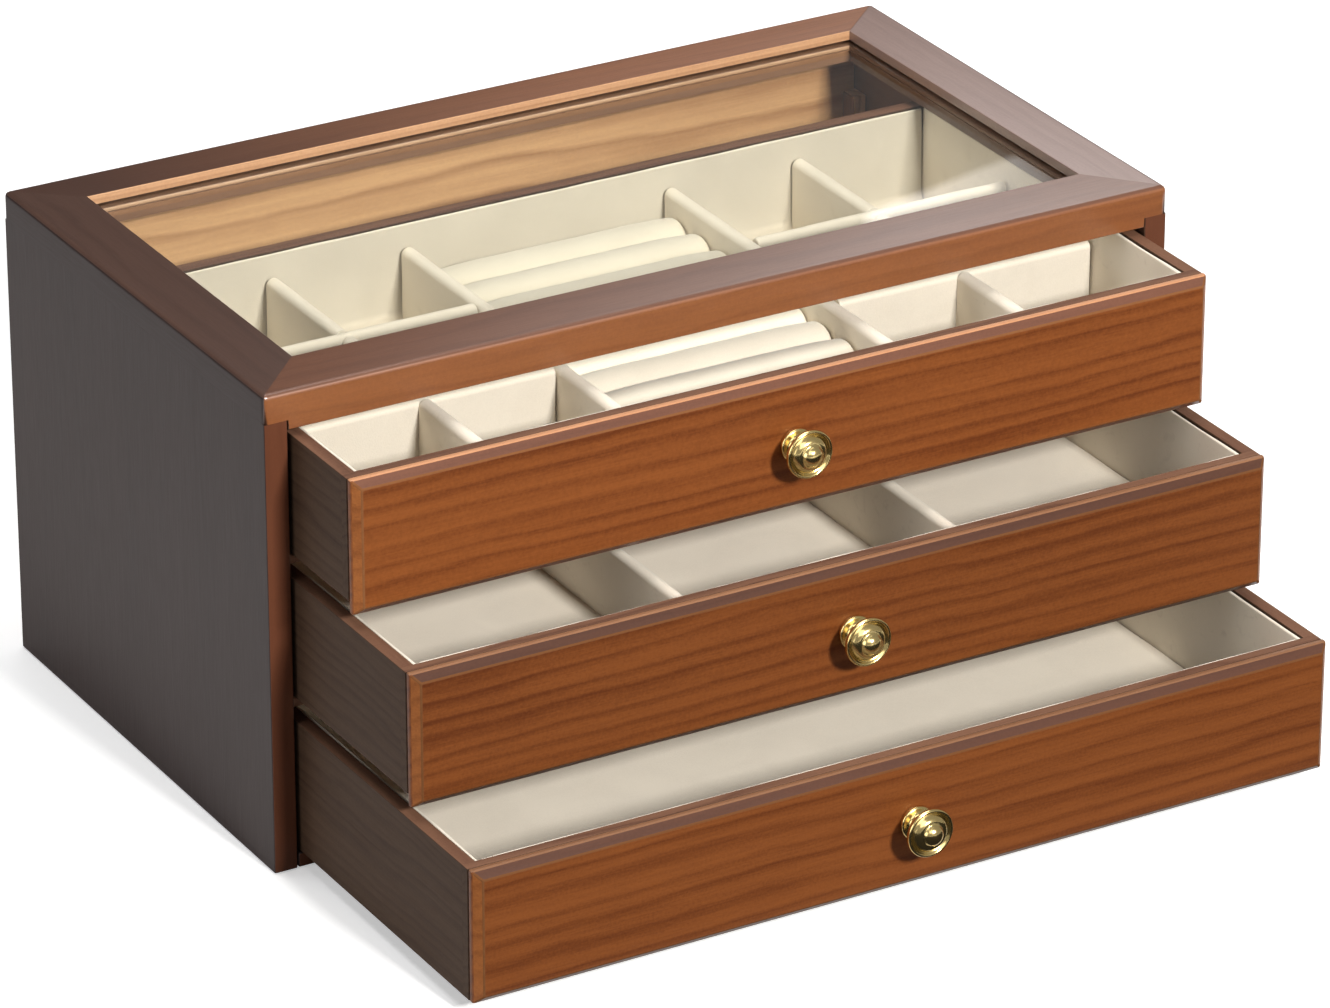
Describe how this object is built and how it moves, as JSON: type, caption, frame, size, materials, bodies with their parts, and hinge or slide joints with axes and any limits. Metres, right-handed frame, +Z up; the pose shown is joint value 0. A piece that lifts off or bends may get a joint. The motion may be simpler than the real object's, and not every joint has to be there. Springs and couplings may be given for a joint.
{
  "type": "jewelry organizer",
  "caption": "Wooden jewellery organizer with a framed glass top and lined sliding drawers holding divided compartments and ring rolls.",
  "frame": {"origin": "centre of the cabinet's underside, on the surface it stands on", "axes": "+Z up, +X to the right as seen from the front, the drawers open towards -Y"},
  "size_m": [0.285, 0.2703, 0.1429],
  "materials": {
    "dark_wood": "lacquered, satin",
    "front_wood": "lacquered, glossy",
    "inner_wood": "stained, satin",
    "golden_wood": "oiled, satin",
    "glass": "clear, polished",
    "brass": "antiqued, polished",
    "cream_fabric": "short velvet pile"
  },
  "bodies": {
    "cabinet": {"side_panel_left": "dark_wood", "side_panel_right": "dark_wood", "bottom_board": "dark_wood", "back_panel": "golden_wood", "top_rail_front": "dark_wood", "top_rail_back": "dark_wood", "top_rail_left": "dark_wood", "top_rail_right": "dark_wood", "glass_pane": "glass", "glass_retainer_frame": "dark_wood", "dust_board_upper": "inner_wood", "dust_board_lower": "inner_wood", "corner_post_left": "golden_wood", "corner_post_right": "golden_wood"},
    "drawer_top": {"drawer_top_front": "front_wood", "drawer_top_front_wall": "inner_wood", "drawer_top_side_left": "inner_wood", "drawer_top_side_right": "inner_wood", "drawer_top_back": "inner_wood", "drawer_top_bottom": "inner_wood", "drawer_top_lining": "cream_fabric", "drawer_top_knob": "brass", "cross_divider_1": "cream_fabric", "cross_divider_2": "cream_fabric", "cross_divider_3": "cream_fabric", "cross_divider_4": "cream_fabric", "row_divider_left_front": "cream_fabric", "row_divider_left_back": "cream_fabric", "row_divider_right_front": "cream_fabric", "row_divider_right_back": "cream_fabric", "ring_roll_1": "cream_fabric", "ring_roll_2": "cream_fabric", "ring_roll_3": "cream_fabric", "ring_roll_4": "cream_fabric", "ring_roll_5": "cream_fabric", "ring_roll_6": "cream_fabric", "ring_roll_7": "cream_fabric", "ring_roll_8": "cream_fabric", "ring_roll_9": "cream_fabric"},
    "drawer_middle": {"drawer_middle_front": "front_wood", "drawer_middle_front_wall": "inner_wood", "drawer_middle_side_left": "inner_wood", "drawer_middle_side_right": "inner_wood", "drawer_middle_back": "inner_wood", "drawer_middle_bottom": "inner_wood", "drawer_middle_lining": "cream_fabric", "drawer_middle_knob": "brass", "column_divider_1": "cream_fabric", "column_divider_2": "cream_fabric"},
    "drawer_bottom": {"drawer_bottom_front": "front_wood", "drawer_bottom_front_wall": "inner_wood", "drawer_bottom_side_left": "inner_wood", "drawer_bottom_side_right": "inner_wood", "drawer_bottom_back": "inner_wood", "drawer_bottom_bottom": "inner_wood", "drawer_bottom_lining": "cream_fabric", "drawer_bottom_knob": "brass"}
  },
  "joints": [
    {"name": "drawer_top_slide", "type": "slide", "parent": "cabinet", "child": "drawer_top", "axis": [0, -1, 0], "range_m": [-0.0329, 0.0871]},
    {"name": "drawer_middle_slide", "type": "slide", "parent": "cabinet", "child": "drawer_middle", "axis": [0, -1, 0], "range_m": [-0.0643, 0.0557]},
    {"name": "drawer_bottom_slide", "type": "slide", "parent": "cabinet", "child": "drawer_bottom", "axis": [0, -1, 0], "range_m": [-0.0971, 0.0229]}
  ]
}
